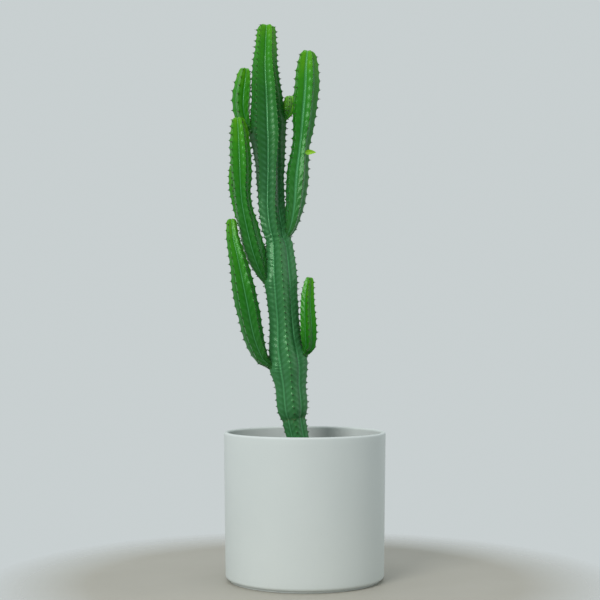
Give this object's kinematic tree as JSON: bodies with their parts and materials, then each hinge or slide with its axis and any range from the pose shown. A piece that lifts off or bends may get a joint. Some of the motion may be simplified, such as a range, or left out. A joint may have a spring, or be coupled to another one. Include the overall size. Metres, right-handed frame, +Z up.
{
  "type": "potted euphorbia",
  "caption": "Tall branching succulent with ribbed, toothed green stems and a single small leaf, growing in a plain round pot with a rounded lip and recessed foot.",
  "frame": {"origin": "middle of the pot's flat foot, on the pot's axis", "axes": "+Z up along the pot's axis; -Y towards the front, where the lowest left branch and the upper right branch both show; +X to the right seen from the front"},
  "size_m": [0.22, 0.22, 0.757],
  "materials": {
    "pot_ceramic": "matte",
    "potting_mix": "matte",
    "stem_flesh": "satin",
    "branch_flesh": "satin",
    "leaf_blade": "satin"
  },
  "bodies": {
    "root": {"pot": "pot_ceramic", "soil": "potting_mix", "main_stem": "stem_flesh", "branch_upper_left": "branch_flesh", "branch_mid_left": "branch_flesh", "branch_back_left": "branch_flesh", "branch_low_left": "branch_flesh", "branch_upper_right": "branch_flesh", "branch_small_right": "branch_flesh", "branch_low_right": "branch_flesh", "leaf": "leaf_blade"}
  },
  "joints": []
}
